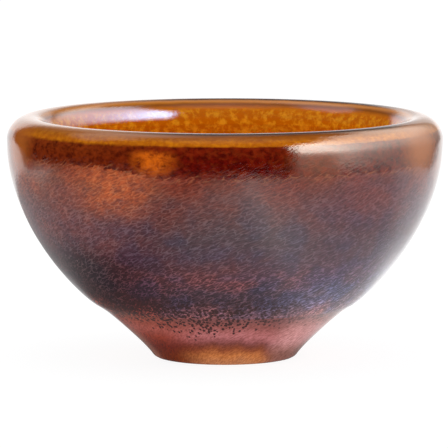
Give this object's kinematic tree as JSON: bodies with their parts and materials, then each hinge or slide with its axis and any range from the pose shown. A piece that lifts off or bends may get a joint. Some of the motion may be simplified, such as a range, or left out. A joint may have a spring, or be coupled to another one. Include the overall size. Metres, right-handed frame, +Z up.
{
  "type": "art glass bowl",
  "caption": "Blown art glass bowl with a thick rolled lip, cased in layers over an amber lining and standing on a small solid foot.",
  "frame": {"origin": "centre of the flat ring the bowl stands on", "axes": "+Z up along the turning axis; X and Y are any two directions square to it"},
  "size_m": [0.152, 0.152, 0.0845],
  "materials": {
    "lustred_casing_glass": "glossy, iridised with a thin lustre film that shifts from garnet to violet and slate blue, fine wrinkled texture",
    "amber_glass": "glossy, lightly mottled with yellow",
    "fleck_glass": "crushed glass flecks melted flat between two gathers",
    "foot_glass": "glossy rose over amber, with the standing ring ground flat and the middle ground hollow"
  },
  "bodies": {
    "root": {"outer_casing": "lustred_casing_glass", "amber_lining": "amber_glass", "fleck_layer": "fleck_glass", "foot": "foot_glass"}
  },
  "joints": []
}
